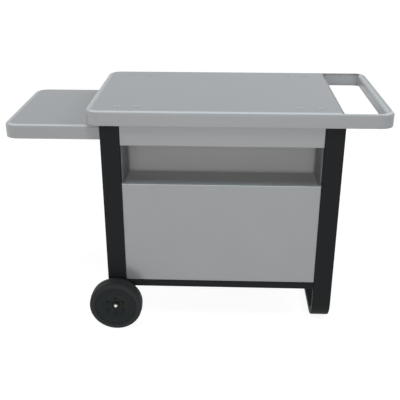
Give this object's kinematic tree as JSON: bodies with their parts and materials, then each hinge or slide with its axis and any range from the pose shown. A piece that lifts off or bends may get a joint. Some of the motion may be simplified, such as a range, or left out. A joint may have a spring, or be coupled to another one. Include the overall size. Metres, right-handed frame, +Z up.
{
  "type": "grill cart",
  "caption": "Wheeled patio cart for a table-top grill: pressed steel worktop with push handle, sliding side shelf, open storage slot, panelled cabinet open at the back, on a black sled frame.",
  "frame": {"origin": "middle of the footprint on the floor, with the side shelf drawn out", "axes": "+X towards the push handle, +Y towards the open back, +Z up"},
  "size_m": [1.2194, 0.648, 0.7525],
  "materials": {
    "grey_powder_coat": "satin powder coat",
    "black_powder_coat": "satin powder coat",
    "black_plastic": "moulded",
    "tyre": "moulded",
    "nylon": "natural nylon",
    "zinc_steel": "zinc plated",
    "galvanised_steel": "galvanised",
    "bright_steel": "bright plated"
  },
  "bodies": {
    "cart": {"apron_screws": "zinc_steel", "axle": "zinc_steel", "axle_tube": "black_powder_coat", "axle_washers": "zinc_steel", "bottom_shelf": "grey_powder_coat", "front_apron": "grey_powder_coat", "front_bottom_rail": "black_powder_coat", "front_cap_nut": "bright_steel", "front_panel": "grey_powder_coat", "front_panel_screws": "zinc_steel", "front_runner": "galvanised_steel", "handle_liner": "grey_powder_coat", "left_bottom_rail": "black_powder_coat", "left_front_leg": "black_powder_coat", "left_rear_leg": "black_powder_coat", "left_side_panel": "grey_powder_coat", "leg_foot_plugs": "black_plastic", "leg_top_plugs": "black_plastic", "rear_apron": "grey_powder_coat", "rear_bottom_rail": "black_powder_coat", "rear_cap_nut": "bright_steel", "rear_runner": "galvanised_steel", "right_bottom_rail": "black_powder_coat", "right_leg_frame": "black_powder_coat", "right_side_panel": "grey_powder_coat", "runner_bolts": "zinc_steel", "runner_glides": "nylon", "side_panel_screws": "zinc_steel", "stop_pegs": "zinc_steel", "storage_tray": "grey_powder_coat", "worktop": "grey_powder_coat", "worktop_nuts": "zinc_steel", "worktop_stiffeners": "grey_powder_coat"},
    "side_shelf": {"side_shelf": "grey_powder_coat", "shelf_brace": "grey_powder_coat", "shelf_glides": "nylon"},
    "front_wheel": {"front_wheel": "black_plastic", "front_tyre": "tyre", "front_wheel_bush": "nylon"},
    "rear_wheel": {"rear_wheel": "black_plastic", "rear_tyre": "tyre", "rear_wheel_bush": "nylon"}
  },
  "joints": [
    {"name": "shelf_slide", "type": "slide", "parent": "cart", "child": "side_shelf", "axis": [1, 0, 0], "range_m": [0, 0.258]},
    {"name": "front_wheel_spin", "type": "hinge", "parent": "cart", "child": "front_wheel", "pos_m": [-0.2645, -0.301, 0.0885], "axis": [0, 1, 0], "continuous": true},
    {"name": "rear_wheel_spin", "type": "hinge", "parent": "cart", "child": "rear_wheel", "pos_m": [-0.2645, 0.301, 0.0885], "axis": [0, 1, 0], "continuous": true}
  ]
}
